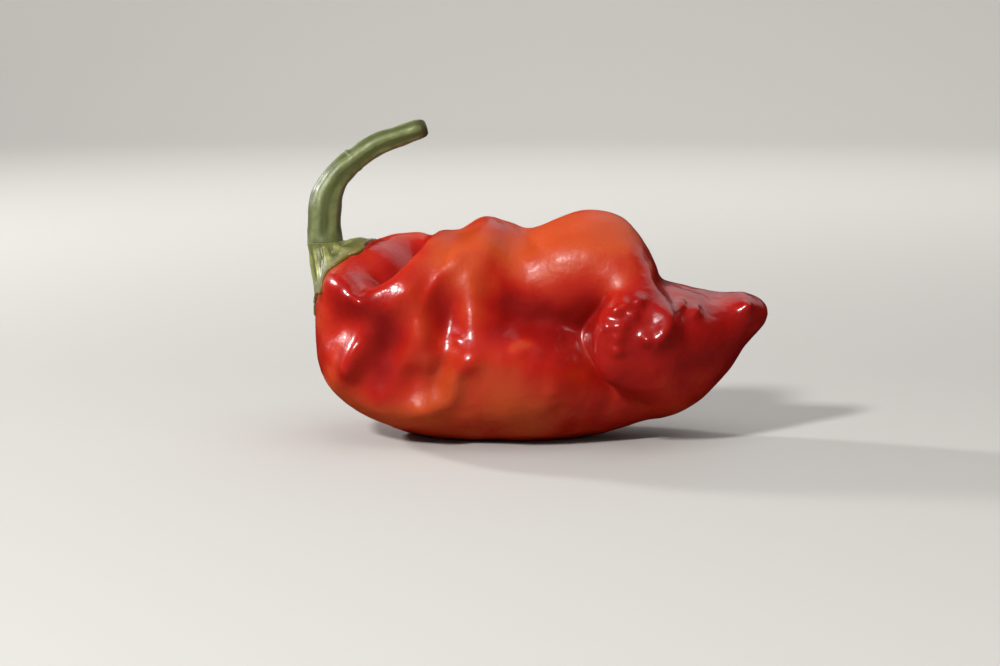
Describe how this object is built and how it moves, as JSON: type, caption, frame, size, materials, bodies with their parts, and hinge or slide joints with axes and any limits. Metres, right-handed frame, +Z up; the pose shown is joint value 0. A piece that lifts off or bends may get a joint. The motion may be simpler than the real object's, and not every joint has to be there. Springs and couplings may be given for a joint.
{
  "type": "chilli pepper",
  "caption": "Ripe habanero-type chilli pepper lying on its side: a glossy wrinkled lobed pod with a blunt pointed tip, a ribbed green calyx and a bent stalk.",
  "frame": {"origin": "on the ground, under the middle of the whole pepper's box", "axes": "+X along the pod towards its tip, +Y away from the side that the picture shows, +Z up"},
  "size_m": [0.0552, 0.0272, 0.0377],
  "materials": {
    "pod_skin": "waxy plant skin, glossy, orange on the belly and crimson in the hollows and at the tip",
    "calyx_skin": "satin green plant tissue with pale yellow-green ribs",
    "stalk_skin": "satin green plant stem with fine lengthwise ridges"
  },
  "bodies": {
    "root": {"pod": "pod_skin", "calyx": "calyx_skin", "stalk": "stalk_skin"}
  },
  "joints": []
}
